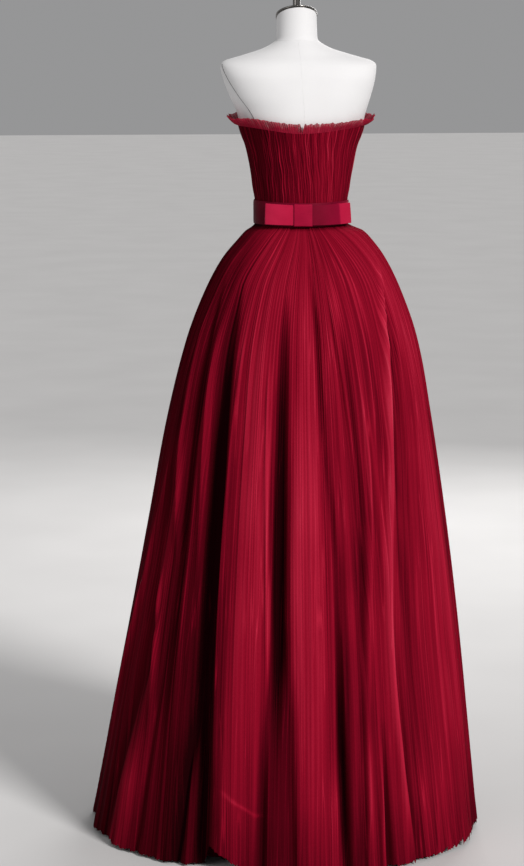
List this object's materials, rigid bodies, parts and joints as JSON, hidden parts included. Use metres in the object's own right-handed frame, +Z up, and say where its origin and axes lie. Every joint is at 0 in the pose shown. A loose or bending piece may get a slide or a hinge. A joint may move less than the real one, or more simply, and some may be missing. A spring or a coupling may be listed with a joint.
{
  "type": "strapless prom dress on a limbless dress form",
  "caption": "Strapless floor-length gown with a pleated bodice, sheer top frill, satin belt and flat back bow, and a full pleated skirt, standing on a limbless dress form.",
  "frame": {"origin": "centre of the stand base's underside, on the floor under the pole", "axes": "+Z up along the pole; the dress's back with its bow faces +Y, its front faces -Y, and the wearer's left is +X"},
  "size_m": [0.8446, 0.809, 1.79],
  "materials": {
    "tulle": "finely pleated crimson tulle, matt with a faint sheen",
    "sheer_tulle": "single sheer layer of gathered crimson tulle",
    "satin": "smooth crimson satin with a soft sheen",
    "lining": "plain dark crimson lining cloth",
    "form_cover": "white cloth cover pulled smooth over the form",
    "chrome_fittings": "polished",
    "base_plate": "polished plate"
  },
  "bodies": {
    "root": {"bodice_front": "tulle", "bodice_back_left": "tulle", "bodice_back_right": "tulle", "top_frill": "sheer_tulle", "belt": "satin", "bow_loop_left": "satin", "bow_loop_right": "satin", "bow_knot": "satin", "skirt_front": "tulle", "skirt_back_left": "tulle", "skirt_back_right": "tulle", "skirt_lining": "lining", "form_torso": "form_cover", "neck_cap": "chrome_fittings", "neck_post": "chrome_fittings", "stand_pole": "chrome_fittings", "stand_base": "base_plate"}
  },
  "joints": []
}
